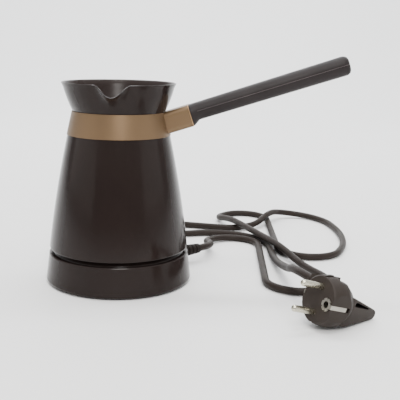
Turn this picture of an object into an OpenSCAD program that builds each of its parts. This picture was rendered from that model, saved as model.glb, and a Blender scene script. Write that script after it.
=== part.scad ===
// Electric Turkish coffee maker: a cordless pot with a long handle on a round power base.
// Millimetres. The pot's axis is Z, the floor is z = 0, the handle points along +X and the spout along -Y.

/* [Power base] */
// Widest diameter of the base, near the floor
base_d = 120; // [112:1:135]
// Diameter at the shoulder, under the pot's edge
shoulder_d = 114.8; // [112:0.2:118]
// Height of the shoulder above the floor
shoulder_h = 25.2; // [22:0.2:32]
// How far the round platform rises above the shoulder
platform_rise = 6.8; // [6:0.1:9]
// How far the platform's foot stands inside the pot's skirt
platform_inset = 2; // [0.4:0.1:3]
// How far the platform's wall leans in from foot to top
platform_taper = 4; // [1:0.2:6]
// Wall of the base cover
base_wall = 2.2; // [1.8:0.1:3]
// Thickness of the bottom pan
pan_t = 2; // [1.6:0.1:3]
// How far the rubber feet lift the pan off the floor
foot_lift = 1; // [0.6:0.1:2]
// Diameter of a rubber foot
foot_d = 11; // [8:0.5:14]
// Diameter of the circle that the feet stand on
foot_ring_d = 92; // [84:1:96]
// Number of feet and of pan screws
foot_n = 4; // [3:1:5]

/* [Pot] */
// Diameter at the pot's lower edge
pot_d = 114; // [112:0.5:118]
// Gap between the shoulder of the base and the pot's lower edge
edge_gap = 4.2; // [3:0.1:5]
// Height from the pot's lower edge to the bottom of the neck band
shell_h = 92.5; // [85:0.5:110]
// Height of the neck band
band_h = 18.7; // [16:0.1:22]
// Height of the collar above the band
collar_h = 22.4; // [18:0.1:30]
// Outer diameter at the top of the band
neck_d = 74.6; // [70:0.2:80]
// How far the side of the pot swells out of a straight cone
side_bulge = 1.6; // [0:0.1:4]
// Wall of the outer shell
shell_wall = 1.8; // [1.4:0.1:2.4]
// Wall of the skirt that hangs round the platform
skirt_wall = 1.4; // [1.2:0.1:1.8]

/* [Collar and spout] */
// Outer diameter of the rim
rim_d = 92; // [86:0.5:100]
// Wall of the collar
collar_wall = 1.9; // [1.5:0.1:2.6]
// Outward curl of the rim
rim_lip = 0.7; // [0.3:0.1:1.2]
// How deep the pouring notch dips below the rim
spout_dip = 9; // [5:0.5:13]
// How far the notch pushes outwards as a beak
spout_beak = 4.6; // [0:0.2:6]
// Half of the angle that the notch takes on the rim
spout_half = 18.5; // [12:0.5:25]

/* [Neck band and handle] */
// How far the band stands proud of the shell
band_proud = 0.5; // [0.2:0.1:1]
// Thickness of the band
band_t = 1.9; // [1.5:0.1:2.4]
// Upward slope of the handle, degrees
handle_slope = 18.3; // [10:0.1:25]
// Distance from the axis to the end of the socket, along the handle
socket_reach = 61; // [58:0.5:70]
// Height of the socket and of the grip's root
socket_h = 17.4; // [16:0.2:20]
// Width of the socket and of the grip's root
socket_w = 21; // [18:0.5:24]
// Length of the grip
grip_len = 131.5; // [100:0.5:150]
// Height of the grip behind its root
grip_h = 14.2; // [12:0.2:16]
// Height of the grip near its end
grip_end_h = 15.6; // [12:0.2:17]
// Width of the grip
grip_w = 18.5; // [16:0.5:22]
// Diameter of the screw that holds the grip
handle_screw_d = 4; // [3:0.5:5]

/* [Vessel and heater] */
// Air gap between the shell and the steel vessel
vessel_gap = 3; // [2.5:0.1:4]
// Sheet thickness of the vessel
vessel_t = 0.8; // [0.6:0.1:1.2]
// Height of the heating plate's underside above the pot's lower edge
plate_rise = 19.8; // [19.4:0.1:26]
// Thickness of the heating plate
plate_t = 3; // [2:0.5:5]
// Centre line diameter of the heating ring
element_d = 62; // [56:1:68]
// Diameter of the heating ring's tube
element_tube_d = 6.4; // [5:0.2:7]
// Diameter of the thermostat
thermostat_d = 16; // [14:0.5:18]

/* [Rocker switch] */
// Width of the switch bezel
bezel_w = 15; // [14:0.5:17]
// Height of the switch bezel
bezel_h = 10.6; // [9:0.2:11]
// Depth of the switch body behind the bezel
switch_depth = 12.5; // [10:0.5:13]
// Swing of the rocker from off to on, degrees
rocker_swing = 20; // [14:1:24]

/* [Cord and plug] */
// Diameter of the power cord
cord_d = 6.4; // [6:0.1:7]
// Direction in which the cord leaves the base, degrees
gland_az = 40; // [35:1:45]
// Height of the cord's outlet above the floor
gland_z = 12; // [10.5:0.1:13]
// Length of the strain relief outside the base
gland_len = 28; // [22:1:40]
// Length of the plug's own cord boot
boot_len = 9; // [6:1:16]
// Diameter of the plug's face
plug_d = 37.4; // [36:0.2:39]

/* [Hidden] */

$fn = 96;
cut = 1;             // how far a cutting body runs past the face it opens
fit_gap = 0.15;      // between pieces that are pushed together
run_gap = 0.4;       // between pieces that turn or lift past each other

// Heights
pan_z = foot_lift;
pan_top = pan_z + pan_t;
platform_z = shoulder_h + platform_rise;
edge_z = shoulder_h + edge_gap;
band_z = edge_z + shell_h;
neck_z = band_z + band_h;
rim_z = neck_z + collar_h;

// Radii of the base
base_r = base_d / 2;
shoulder_r = shoulder_d / 2;
base_foot_r = base_r - 1.8;
pan_r = base_r - base_wall - fit_gap;
platform_foot_r = pot_d / 2 - skirt_wall - platform_inset;
platform_r = platform_foot_r - platform_taper;
deck_t = 2.4;

// Side of the pot: radius at height z, a cone with a parabolic swell
pot_r0 = pot_d / 2;
pot_r1 = neck_d / 2;
side_h = shell_h + band_h;
function side_t(z) = (z - edge_z) / side_h;
function pot_r(z) = pot_r0 + (pot_r1 - pot_r0) * side_t(z) + 4 * side_bulge * side_t(z) * (1 - side_t(z));
side_steps = 14;
// Points of the side from z0 up to z1, moved inwards by in
function side_pts(z0, z1, in = 0, n = side_steps) = [for (i = [0:n])
    let (z = z0 + (z1 - z0) * i / n) [pot_r(z) - in, z]];
function back(list) = [for (i = [len(list) - 1:-1:0]) list[i]];

// Neck: shell, band and collar nest here
band_in = band_t - band_proud;
neck_in = band_in + fit_gap;                       // outside of the shell under the band
collar_in = neck_in + shell_wall + fit_gap;        // outside of the collar's skirt
skirt_t = 1.3;
liner_in = collar_in + skirt_t;                    // inside of the collar's skirt
shell_top = neck_z - 1.2;
ledge_z = band_z + 1.6;                            // ledge in the shell that carries the collar
ledge_t = 1.5;
gasket_t = 1.2;

// Vessel
vessel_in = shell_wall + vessel_gap;               // outside of the vessel
plate_z = edge_z + plate_rise;
plate_top = plate_z + plate_t;
floor_z = plate_top + vessel_t;
vessel_top = ledge_z - gasket_t - fit_gap;
flange_r = pot_r(vessel_top) - shell_wall - 0.6;
plate_r = pot_r(plate_z) - shell_wall - 0.8;
corner_r = 6;

// Bosses of the shell: they carry the heating plate and take the bottom screws
boss_n = 3;
boss_r = 4;
boss_ring = pot_r(plate_z) - shell_wall - boss_r;
boss_az = 30;
cover_z = platform_z;
cover_t = 2.2;
cover_top = cover_z + cover_t;
cover_r = pot_r0 - skirt_wall - 0.3;
cover_seat_r = cover_r - 1.6;
screw_d = 3;

// Centre connector: a tower on the base, a socket in the pot
tower_r = 10.2;
tower_t = 1.8;
tower_h = 8;
contact_r = 1.6;
contact_t = 0.4;
socket_r = 14.6;
socket_t = 1.6;                                    // roof of the socket over the tower
socket_z = platform_z + 0.6;
socket_top = platform_z + tower_h + run_gap + socket_t;
flange_z = cover_top + 0.3;
flange_t = 1.3;
deck_under = platform_z - deck_t;
base_flange_t = 2;
flange_under = deck_under - base_flange_t;

// Handle frame: x runs along the handle from the pot's axis
handle_z = neck_z - 19.6;                          // where the handle's centre line meets the pot's axis
socket_drop = (socket_h - grip_h) / 2;
socket_wall = 2.2;
socket_r_out = pot_r(handle_z + 13) / cos(handle_slope);   // where the handle's line leaves the pot
socket_floor = socket_r_out + 3;
screw_head_x = socket_r_out - (neck_in + shell_wall) / cos(handle_slope) + 0.6;
screw_head_t = 1.4;
tongue_len = 9;
tongue_start = socket_reach - tongue_len;
insert_d = 7;
insert_len = 14;
grip_root = 5;
grip_round = 4.5;
module on_handle() { translate([0, 0, handle_z]) rotate([0, -handle_slope, 0]) children(); }

// Switch on the wall opposite the spout
switch_z = edge_z + 13.4;
switch_y = pot_r(switch_z) - 0.9;                  // seat of the bezel
bezel_t = 2;
switch_w = bezel_w - 2;
switch_h = bezel_h - 1.8;
pivot_y = switch_y + 0.6;

// Cord and plug. The pins follow the standard of a two-pin earthed plug
pin_d = 4.8;
pin_len = 19;
pin_pitch = 19;
pin_root_d = 4;                                    // the pin's end that is moulded into the plug
pin_root_len = 12;
gland_r0 = 6;
gland_r1 = 4.3;
gland_in = 10;
cord_pocket = 6;                                   // how deep the cord sits in the gland and in the boot
cord_fit = 0.1;
gland_start = base_r - (base_r - shoulder_r) * gland_z / shoulder_h - 0.6;
clamp_ring = 42;
plug_r = plug_d / 2;
plug_pos = [152.1, -104.8];
plug_yaw = 210.2;
plug_tilt = 17.2;
plug_roll = -5.4;
heel_x = 14;                                       // the plug's wide part ends here, and rests on its edge
heel_r = plug_r - 0.4;
plug_z = heel_x * sin(plug_tilt) + heel_r * cos(plug_tilt) + 0.3;
boot_x = -11;
boot_z = 7;
boot_y = 12;                                       // where the boot leaves the plug's side
module on_plug() {
    translate([plug_pos[0], plug_pos[1], plug_z])
    rotate([0, 0, plug_yaw]) rotate([0, -plug_tilt, 0]) rotate([plug_roll, 0, 0]) children();
}
module on_gland() { rotate([0, 0, gland_az]) translate([0, 0, gland_z]) rotate([0, 90, 0]) children(); }

// Corner i of the line pts, rounded off by an arc that takes half of the shorter leg,
// or a whole leg at the line's two ends. The arc has a point about every step.
function corner(pts, i, step) = let (
    p = pts[i],
    to_a = pts[i - 1] - p,
    to_b = pts[i + 1] - p,
    len_a = norm(to_a) / (i == 1 ? 1 : 2),
    len_b = norm(to_b) / (i == len(pts) - 2 ? 1 : 2),
    leg = 0.999 * min(len_a, len_b),
    u = to_a / norm(to_a),
    v = to_b / norm(to_b),
    turn = 180 - acos(min(1, max(-1, u * v))))
    turn < 0.5 ? [p] : let (
        r = leg / tan(turn / 2),
        middle = p + (u + v) / norm(u + v) * r / cos(turn / 2),
        start = p + leg * u - middle,
        n = max(1, ceil(r * turn * PI / 180 / step)))
    [for (k = [0:n - 1]) let (a = turn * (k + 0.5) / n) middle + start * cos(a) - u * r * sin(a)];
function bent(pts, step) = concat([pts[0]], [for (i = [1:len(pts) - 2]) each corner(pts, i, step)],
    [pts[len(pts) - 1]]);

// Tube of radius r swept along pts. Each ring keeps its neighbour's twist
function unit(v) = v / norm(v);
function heading(pts, i) = unit(i == 0 ? pts[1] - pts[0] : i == len(pts) - 1 ? pts[i] - pts[i - 1] :
    unit(pts[i + 1] - pts[i]) + unit(pts[i] - pts[i - 1]));
function sides(pts, i, prev) = let (h = heading(pts, i), side = unit(prev - (prev * h) * h))
    i == len(pts) - 1 ? [side] : concat([side], sides(pts, i + 1, side));
module tube(pts, r, n) {
    side = sides(pts, 0, abs(heading(pts, 0)[2]) > 0.8 ? [1, 0, 0] : [0, 0, 1]);
    last = len(pts) - 1;
    rings = [for (i = [0:last], k = [0:n - 1]) let (h = heading(pts, i), a = k * 360 / n)
        pts[i] + r * (side[i] * cos(a) + cross(h, side[i]) * sin(a))];
    walls = [for (i = [0:last - 1], k = [0:n - 1]) let (a = i * n + k, b = i * n + (k + 1) % n)
        [a, a + n, b + n, b]];
    polyhedron(rings, concat([[for (k = [0:n - 1]) k]], walls, [[for (k = [n - 1:-1:0]) last * n + k]]),
        convexity = 12);
}
module wire(pts, r) {
    tube(bent(pts, 3), r, 8);
}
// Rectangle with round corners, centred
module round_rect(w, h, r) {
    square([w - 2 * r, h], center = true);
    square([w, h - 2 * r], center = true);
    for (x = [-1, 1], y = [-1, 1]) translate([x * (w / 2 - r), y * (h / 2 - r)]) circle(r = r, $fn = 32);
}
module ring(r_out, r_in, h) {
    difference() {
        cylinder(h = h, r = r_out);
        translate([0, 0, -cut]) cylinder(h = h + 2 * cut, r = r_in);
    }
}
// n copies on a circle of radius r, the first at azimuth az
module around(n, r, az = 0) {
    for (i = [0:n - 1]) rotate([0, 0, az + i * 360 / n]) translate([r, 0, 0]) children();
}

// ---------------------------------------------------------------- power base

foot_az = 45;
foot_ring = foot_ring_d / 2;
foot_sink = 0.8;                                   // how deep the feet sit in the pan
pan_screw_ring = foot_ring - 10;
pan_screw_az = foot_az - 180 / foot_n;             // the screws stand between the feet
pan_boss_r = 3.6;
pan_screw_len = 11;
screw_head_h = 1;
post_az = 8;                                       // half the distance between the clamp's screws
clamp_h = 2.2;
clamp_w = 6;
wire_slot = 3.4;                                   // slot in the pan's support ring for the live wire
wire_slot_h = 7;

module base_cover() {
    color([0.16, 0.13, 0.12]) {
        difference() {
            rotate_extrude() polygon([
                [0, platform_z], [platform_r - 0.8, platform_z], [platform_r, platform_z - 0.8],
                [platform_foot_r, shoulder_h], [shoulder_r - 0.7, shoulder_h],
                [shoulder_r, shoulder_h - 0.7],
                [base_r, pan_z + 2.4], [base_r - 0.5, pan_z + 0.9], [base_foot_r, pan_z],
                [base_r - base_wall, pan_z], [base_r - base_wall, pan_top + 0.5],
                [shoulder_r - base_wall, shoulder_h - deck_t],
                [platform_foot_r - base_wall, shoulder_h - deck_t],
                [platform_r - base_wall, deck_under], [0, deck_under]]);
            translate([0, 0, deck_under - cut]) cylinder(h = deck_t + 2 * cut, r = socket_r + fit_gap);
            on_gland() translate([0, 0, gland_start - 8]) cylinder(h = 16, r = gland_r0 - 1);
        }
        around(foot_n, pan_screw_ring, pan_screw_az) difference() {
            translate([0, 0, pan_top]) cylinder(h = deck_under - pan_top, r = pan_boss_r);
            translate([0, 0, pan_top - cut]) cylinder(h = pan_screw_len + cut, r = screw_d / 2);
        }
    }
}

module base_pan() {
    vent_n = 2 * foot_n;
    vent_r = 30;
    color([0.12, 0.11, 0.11]) difference() {
        union() {
            translate([0, 0, pan_z]) cylinder(h = pan_t, r = pan_r);
            translate([0, 0, pan_top]) ring(pan_r - 1, pan_r - 2.2, 2);
            rotate([0, 0, gland_az]) for (y = [-post_az, post_az]) translate([clamp_ring, y, pan_top])
                cylinder(h = gland_z - cord_d / 2 - pan_top, r = 3);
            translate([0, 0, pan_top]) ring(tower_r, tower_r - 1.6, flange_under - pan_top);
        }
        rotate([0, 0, gland_az]) translate([tower_r - 3, -wire_slot / 2, flange_under - wire_slot_h])
            cube([5, wire_slot, wire_slot_h + cut]);
        around(foot_n, foot_ring, foot_az) translate([0, 0, pan_z - cut])
            cylinder(h = foot_sink + cut, r = foot_d / 2 + cord_fit);
        around(foot_n, pan_screw_ring, pan_screw_az) {
            translate([0, 0, pan_z - cut]) cylinder(h = pan_t + 2 * cut, r = screw_d / 2 + 0.2);
            translate([0, 0, pan_z - cut]) cylinder(h = screw_head_h + cut, r = screw_d + 0.2);
        }
        rotate([0, 0, gland_az]) for (y = [-post_az, post_az]) translate([clamp_ring, y, pan_top + cut])
            cylinder(h = gland_z, r = 1.25);
        around(vent_n, vent_r, pan_screw_az + 90 / foot_n) translate([-5, -0.8, pan_z - cut])
            cube([10, 1.6, pan_t + 2 * cut]);
    }
}

module rubber_feet() {
    foot_r = foot_d / 2;
    foot_top = pan_z + foot_sink;
    color([0.08, 0.08, 0.08]) around(foot_n, foot_ring, foot_az)
        rotate_extrude() polygon([
            [0, 0], [foot_r - 0.6, 0], [foot_r, 0.6], [foot_r, foot_top], [0, foot_top]]);
}

// Pan-head screw with a cross slot, its head's face at z = 0
module pan_screw(len, shank_r) {
    difference() {
        union() {
            cylinder(h = screw_head_h, r = screw_d);
            cylinder(h = len, r = shank_r);
        }
        for (a = [0, 90]) rotate([0, 0, a]) translate([-1.6, -0.3, -cut]) cube([3.2, 0.6, cut + 0.5]);
    }
}

module base_screws() {
    color([0.72, 0.72, 0.72]) around(foot_n, pan_screw_ring, pan_screw_az)
        translate([0, 0, pan_z]) pan_screw(pan_screw_len, screw_d / 2 - 0.05);
}

module base_connector() {
    color([0.82, 0.8, 0.75]) difference() {
        union() {
            translate([0, 0, flange_under]) cylinder(h = base_flange_t, r = socket_r + 3);
            translate([0, 0, deck_under - cut]) cylinder(h = deck_t + cut - 0.2, r = socket_r);
            translate([0, 0, deck_under]) cylinder(h = deck_t + tower_h, r = tower_r);
        }
        translate([0, 0, platform_z - 0.8]) cylinder(h = tower_h + cut, r = tower_r - tower_t);
        translate([0, 0, flange_under - cut]) cylinder(h = 10, r = contact_r + 0.02);
    }
}

module base_contacts() {
    inner_r = tower_r - tower_t;
    color([0.8, 0.66, 0.35]) {
        translate([0, 0, deck_under - 5]) cylinder(h = deck_t + 4 + tower_h, r = contact_r);
        translate([0, 0, platform_z - 0.8]) ring(inner_r, inner_r - contact_t, tower_h);
        translate([0, 0, platform_z - 0.2]) ring(tower_r + contact_t, tower_r, tower_h - 1);
    }
}

// Three wires from the end of the cord's sheath to the connector
module base_wires() {
    x0 = clamp_ring - 5.1;
    z1 = flange_under - 1.3;
    rotate([0, 0, gland_az]) {
        color([0.55, 0.35, 0.16])
            wire([[x0, 0, gland_z], [24, 0, gland_z], [14, 0, z1 - 3], [2.9, 0, z1 - 2]], 1.1);
        color([0.2, 0.35, 0.7])
            wire([[x0, 2.4, gland_z], [24, 7, gland_z], [17, 12, z1], [13, 9, z1]], 1.1);
        color([0.45, 0.65, 0.2])
            wire([[x0, -2.4, gland_z], [24, -7, gland_z], [17, -12, z1], [13, -9, z1]], 1.1);
    }
}

module cord_clamp() {
    z = gland_z + cord_d / 2;
    color([0.14, 0.14, 0.14]) rotate([0, 0, gland_az]) difference() {
        translate([clamp_ring - clamp_w / 2, -post_az - 3, z]) cube([clamp_w, 2 * post_az + 6, clamp_h]);
        for (y = [-post_az, post_az]) translate([clamp_ring, y, z - cut])
            cylinder(h = clamp_h + 2 * cut, r = 1.5);
    }
}

module cord_clamp_screws() {
    z = gland_z + cord_d / 2 + clamp_h;
    bottom = pan_top + 1.5;
    color([0.72, 0.72, 0.72]) rotate([0, 0, gland_az])
        for (y = [-post_az, post_az]) translate([clamp_ring, y, 0]) {
            translate([0, 0, z]) cylinder(h = 1.6, r = 2.6);
            translate([0, 0, bottom]) cylinder(h = z - bottom, r = 1.2);
        }
}

module cord_tail() {
    color([0.3, 0.27, 0.25]) on_gland() translate([0, 0, clamp_ring - 5])
        cylinder(h = gland_start - gland_in - clamp_ring + 5, r = cord_d / 2 - 0.05);
}

// Ribbed taper: a flange inside the wall, a neck through it and rings outside
module strain_relief() {
    ribs = 5;
    pitch = (gland_len - 6) / ribs;
    neck_r = gland_r0 - 1.1;
    function taper(s) = gland_r0 + (gland_r1 - gland_r0) * s / gland_len;
    color([0.27, 0.24, 0.23]) on_gland() translate([0, 0, gland_start]) difference() {
        rotate_extrude() polygon(concat(
            [[0, -gland_in], [neck_r, -gland_in], [neck_r, -6], [neck_r + 2.2, -6], [neck_r + 2.2, -4],
             [neck_r, -4], [neck_r, 1.2]],
            [for (i = [0:ribs - 1]) let (s = 1.2 + i * pitch) each [
                [taper(s), s], [taper(s + pitch - 1.4), s + pitch - 1.4],
                [taper(s) - 1, s + pitch - 1.2], [taper(s) - 1, s + pitch - 0.2]]],
            [[taper(gland_len - 5), gland_len - 4.6], [gland_r1, gland_len - 0.6],
             [gland_r1 - 0.6, gland_len], [0, gland_len]]));
        translate([0, 0, gland_len - cord_pocket])
            cylinder(h = cord_pocket + cut, r = cord_d / 2 + cord_fit);
    }
}

// ---------------------------------------------------------------- cord and plug

// Corners of the cord's route, from the strain relief round its loops to the plug. It lies on
// the floor, and passes over itself where z rises
cord_lead = 20;                                    // straight stretch out of the strain relief
plug_lead = 28;                                    // straight stretch into the plug's boot
cord_corners = [
    [70, 110, 5], [95, 132, 3.5], [124, 118, 3.5], [123, -22, 3.5], [147, -39, 3.5], [173, -27, 3.5],
    [177, 0, 3.5], [158, 40, 3.5], [143, 75, 10.5], [98, 182, 11], [81, 217, 3.5], [106, 247, 3.5],
    [140, 231, 3.5], [142, 80, 3.5], [168, 62, 3.5], [194, 72, 3.5], [209, 110, 3.5], [214, 160, 3.5],
    [206, 212, 3.5], [186, 238, 3.5], [158, 237, 7], [143, 213, 12], [125, 179, 5], [101, 168, 3.5],
    [9, 188, 3.5], [-17, 174, 3.5], [-18, 144, 3.5], [8, 126, 3.5], [87, 152, 3.5], [134, 124, 3.5],
    [135, 50, 3.5], [141, -15, 16]];
function gland_point(s) = let (r = gland_start + gland_len + s)
    [r * cos(gland_az), r * sin(gland_az), gland_z];
function turn_z(p, a) = [p[0] * cos(a) - p[1] * sin(a), p[0] * sin(a) + p[1] * cos(a), p[2]];
function turn_y(p, a) = [p[0] * cos(a) + p[2] * sin(a), p[1], p[2] * cos(a) - p[0] * sin(a)];
function turn_x(p, a) = [p[0], p[1] * cos(a) - p[2] * sin(a), p[1] * sin(a) + p[2] * cos(a)];
function plug_point(s) = [plug_pos[0], plug_pos[1], plug_z] + turn_z(turn_y(turn_x(
    [boot_x, -boot_y - boot_len - s, boot_z], plug_roll), -plug_tilt), plug_yaw);

module power_cord() {
    route = concat([gland_point(-cord_pocket), gland_point(cord_lead)], cord_corners,
        [plug_point(plug_lead), plug_point(-cord_pocket)]);
    color([0.33, 0.29, 0.27]) tube(bent(route, 2.5 * cord_d), cord_d / 2, 10);
}

plug_flat = 15.6;                                  // half the width across the plug's two flat sides
plug_face_h = 8;                                   // the plug widens from its face to here
plug_back = 22;
plug_back_r = 13;
plug_top = 17;                                     // flattened top behind the face
clip_t = 1;
clip_w = 3;
clip_len = 14;
clip_slot = 3;                                     // slot behind the end of each earth strip
earth_y = 10;                                      // place of the earth socket on the face
earth_r = 3.05;
earth_flange_r = 4.7;
earth_flange_t = 0.6;
earth_proud = 0.4;
earth_depth = 8.8;                                 // the earth socket ends here
loop_end = 53;                                     // reach of the pull loop behind the face
boot_w = 11;
boot_h = 10;
boot_root_y = 4;
boot_root_h = 15.6;
boot_end = boot_y + boot_len;

// Round bar across the plug: its axis runs along y
module cross_bar(x, z, r, h) {
    translate([x, 0, z]) rotate([90, 0, 0]) cylinder(h = h, r = r, center = true, $fn = 32);
}

module plug_body() {
    color([0.31, 0.28, 0.26]) on_plug() difference() {
        union() {
            difference() {
                rotate([0, -90, 0]) rotate_extrude() polygon([
                    [0, 0], [plug_r - 2.3, 0], [plug_r - 1.3, 1], [plug_r, plug_face_h], [heel_r, heel_x],
                    [plug_back_r, plug_back], [0, plug_back]]);
                for (y = [plug_flat, -plug_flat - plug_r]) translate([-plug_back - cut, y, -plug_r])
                    cube([plug_back + 2 * cut, plug_r, 2 * plug_r]);
                translate([-plug_face_h, -plug_r, plug_top]) rotate([0, -8, 0]) translate([-plug_back, 0, 0])
                    cube([plug_back, 2 * plug_r, plug_r]);
            }
            hull() {
                cross_bar(-18, -8, 5, 2 * plug_flat - 5);
                cross_bar(-22, 3.8, 4.6, 2 * plug_flat - 9);
                cross_bar(4.2 - loop_end, -2.4, 4.2, 11);
            }
            translate([boot_x - boot_w / 2, 0, boot_z - boot_h / 2]) hull() {
                translate([0, -boot_end, 0]) cube([boot_w, 1, boot_h]);
                translate([0, -boot_root_y, 0]) cube([boot_w, 1, boot_root_h]);
            }
        }
        hull() {
            cross_bar(-plug_back - 4.5, 4.1, 1.7, 2 * plug_r);
            cross_bar(11 - loop_end, 1.9, 0.6, 2 * plug_r);
        }
        for (z = [-1, 1]) translate([-pin_root_len, 0, z * pin_pitch / 2]) rotate([0, 90, 0])
            cylinder(h = pin_root_len + cut, r = pin_root_d / 2);
        translate([-earth_depth, earth_y, 0]) rotate([0, 90, 0]) cylinder(h = 10, r = earth_r + 0.05);
        translate([-earth_flange_t, earth_y, 0]) rotate([0, 90, 0])
            cylinder(h = earth_flange_t + cut, r = earth_flange_r + 0.05);
        for (y = [plug_flat - clip_t - 0.05, -plug_flat - cut])
            translate([-clip_len - 0.05, y, -clip_w / 2 - 0.05])
            cube([clip_len + cut, clip_t + cut + 0.05, clip_w + 0.1]);
        for (y = [plug_flat - 2, -plug_flat - cut]) translate([-clip_len - clip_slot, y, -clip_w / 2 - 0.3])
            cube([clip_slot, 2 + cut, clip_w + 0.6]);
        for (z = [-1, 1]) translate([-plug_back, -1.6, z * plug_r - 2]) cube([plug_back + cut, 3.2, 4]);
        translate([boot_x, cord_pocket - boot_end, boot_z]) rotate([90, 0, 0])
            cylinder(h = cord_pocket + cut, r = cord_d / 2 + cord_fit);
        translate([boot_x - boot_w, -boot_y - 2, boot_z + boot_h / 2 + 1]) cube([2 * boot_w, 2, boot_h]);
    }
}

module plug_pins() {
    pin_r = pin_d / 2;
    color([0.78, 0.72, 0.55]) on_plug() for (z = [-1, 1])
        translate([0, 0, z * pin_pitch / 2]) rotate([0, 90, 0]) rotate_extrude() polygon([
            [0, -pin_root_len], [pin_root_d / 2, -pin_root_len], [pin_root_d / 2, 0], [pin_r, 0],
            [pin_r, pin_len - 1.2], [pin_r - 0.9, pin_len - 0.2], [pin_r - 1.5, pin_len], [0, pin_len]]);
}

// Earth socket with a notched flange, and the contact strips that lie in the flat sides
module plug_earth_clips() {
    color([0.75, 0.74, 0.7]) on_plug() {
        for (y = [plug_flat - clip_t, -plug_flat]) translate([-clip_len, y, -clip_w / 2])
            cube([clip_len + earth_proud, clip_t, clip_w]);
        translate([0, earth_y, 0]) rotate([0, 90, 0]) {
            translate([0, 0, -earth_depth]) ring(earth_r, earth_r - 0.65, earth_depth + earth_proud);
            difference() {
                translate([0, 0, -earth_flange_t])
                    ring(earth_flange_r, earth_r - 0.1, earth_flange_t + earth_proud);
                around(6, earth_flange_r, 0) translate([-0.6, -0.5, -cut])
                    cube([2, 1, 3 * cut]);
            }
        }
    }
}

// ---------------------------------------------------------------- pot

module pot_shell() {
    ledge_r = pot_r(ledge_z) - liner_in - 0.2;
    color([0.17, 0.14, 0.13]) difference() {
        union() {
            rotate_extrude() polygon(concat(
                [[pot_r0 - skirt_wall, edge_z], [pot_r0 - 0.3, edge_z]],
                side_pts(edge_z + 0.6, band_z - 0.1),
                side_pts(band_z - 0.1, shell_top, neck_in, 4),
                back(side_pts(ledge_z + ledge_t, shell_top, neck_in + shell_wall, 4)),
                [[ledge_r, ledge_z + ledge_t], [ledge_r, ledge_z]],
                back(side_pts(cover_top, ledge_z, shell_wall)),
                [[cover_seat_r, cover_top], [cover_seat_r, cover_top - 0.4],
                 [pot_r0 - skirt_wall, cover_top - 0.4]]));
            intersection() {
                around(boss_n, boss_ring, boss_az) translate([0, 0, cover_top]) {
                    cylinder(h = plate_z - cover_top, r = boss_r);
                    translate([0, -1.2, 0]) cube([boss_r + 4, 2.4, plate_z - cover_top]);
                }
                cylinder(h = plate_z, r = pot_r(plate_z) - shell_wall / 2);
            }
            intersection() {
                translate([-bezel_w / 2 - 1.6, switch_y - 3.4, switch_z - bezel_h / 2 - 1.6])
                    cube([bezel_w + 3.2, 4, bezel_h + 2.5]);
                cylinder(h = 2 * switch_z, r = pot_r(switch_z) - shell_wall / 2);
            }
        }
        around(boss_n, boss_ring, boss_az) translate([0, 0, cover_top - cut])
            cylinder(h = plate_z - cover_top + 2 * cut, r = screw_d / 2 + 0.1);
        translate([0, switch_y + 5, switch_z]) rotate([90, 0, 0]) linear_extrude(height = 5)
            round_rect(bezel_w + 0.2, bezel_h + 0.2, 1);
        translate([0, switch_y + 5, switch_z]) cube([switch_w + 0.2, 30, switch_h + 0.2], center = true);
        on_handle() translate([0, 0, -socket_drop]) rotate([0, 90, 0]) {
            translate([0, 0, screw_head_x - 4]) cylinder(h = 12, r = handle_screw_d / 2 + 0.1);
            translate([0, 0, screw_head_x - 2]) cylinder(h = 2, r = handle_screw_d - 0.4);
            translate([0, 0, screw_head_x])
                cylinder(h = screw_head_t, r1 = handle_screw_d - 0.4, r2 = handle_screw_d / 2 + 0.1);
        }
    }
}

// Pouring notch: 1 in its middle and 0 away from it. az is measured from the spout
function notch(az) = let (u = abs(az) / spout_half) u >= 1 ? 0 : (1 + cos(180 * u)) / 2;
collar_n = 96;
collar_k = 7;
rim_crowd = 30;                                     // draws the facets together at the spout
function collar_out(s) = pot_r1 + (rim_d / 2 - rim_lip - pot_r1) * s * (1 + 0.35 * (1 - s));
function rim_az(i) = let (t = i * 360 / collar_n, a = t > 180 ? t - 360 : t) a - rim_crowd * sin(a);
function on_axis(r, az, z) = [r * sin(az), -r * cos(az), z];
// Outside of the collar, moved inwards by in: s runs from 0 at the neck to 1 at the rim
function collar_pt(i, s, in) = let (
    az = rim_az(i),
    w = notch(az),
    lip = s > 0.93 ? rim_lip * (s - 0.93) / 0.07 : 0,
    z = neck_z + (rim_z - neck_z - w * spout_dip * pow(s, 0.6)) * s,
    r = collar_out(s) - in + w * spout_beak * pow(s, 2.2) + lip)
    on_axis(r, az, z);
function collar_ring(s, in, up = 0) = [for (i = [0:collar_n - 1]) collar_pt(i, s, in) + [0, 0, up]];
function round_ring(r, z) = [for (i = [0:collar_n - 1]) on_axis(r, rim_az(i), z)];

// Collar: a skirt nested in the shell's neck, a flared funnel and a rim with the notch
module pot_collar() {
    foot_z = ledge_z + ledge_t + fit_gap;
    liner_z = neck_z - 4;
    rings = concat(
        [round_ring(pot_r(foot_z) - collar_in, foot_z), round_ring(pot_r(neck_z) - collar_in, neck_z),
         round_ring(pot_r1, neck_z)],
        [for (j = [1:collar_k]) collar_ring(j / collar_k, 0)],
        [collar_ring(1, collar_wall * 0.35, 0.45), collar_ring(1, collar_wall * 0.8, 0.2)],
        [for (j = [collar_k:-1:2]) collar_ring(j / collar_k - 0.02, collar_wall)],
        [round_ring(pot_r(liner_z) - liner_in, liner_z), round_ring(pot_r(foot_z) - liner_in, foot_z)]);
    m = len(rings);
    n = collar_n;
    faces = [for (k = [0:m - 1], i = [0:n - 1]) let (
        a = k * n + i,
        b = k * n + (i + 1) % n,
        c = (k + 1) % m * n + (i + 1) % n,
        d = (k + 1) % m * n + i)
        each [[a, c, b], [a, d, c]]];
    color([0.17, 0.14, 0.13]) polyhedron([for (r = rings) each r], faces, convexity = 6);
}

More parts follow.
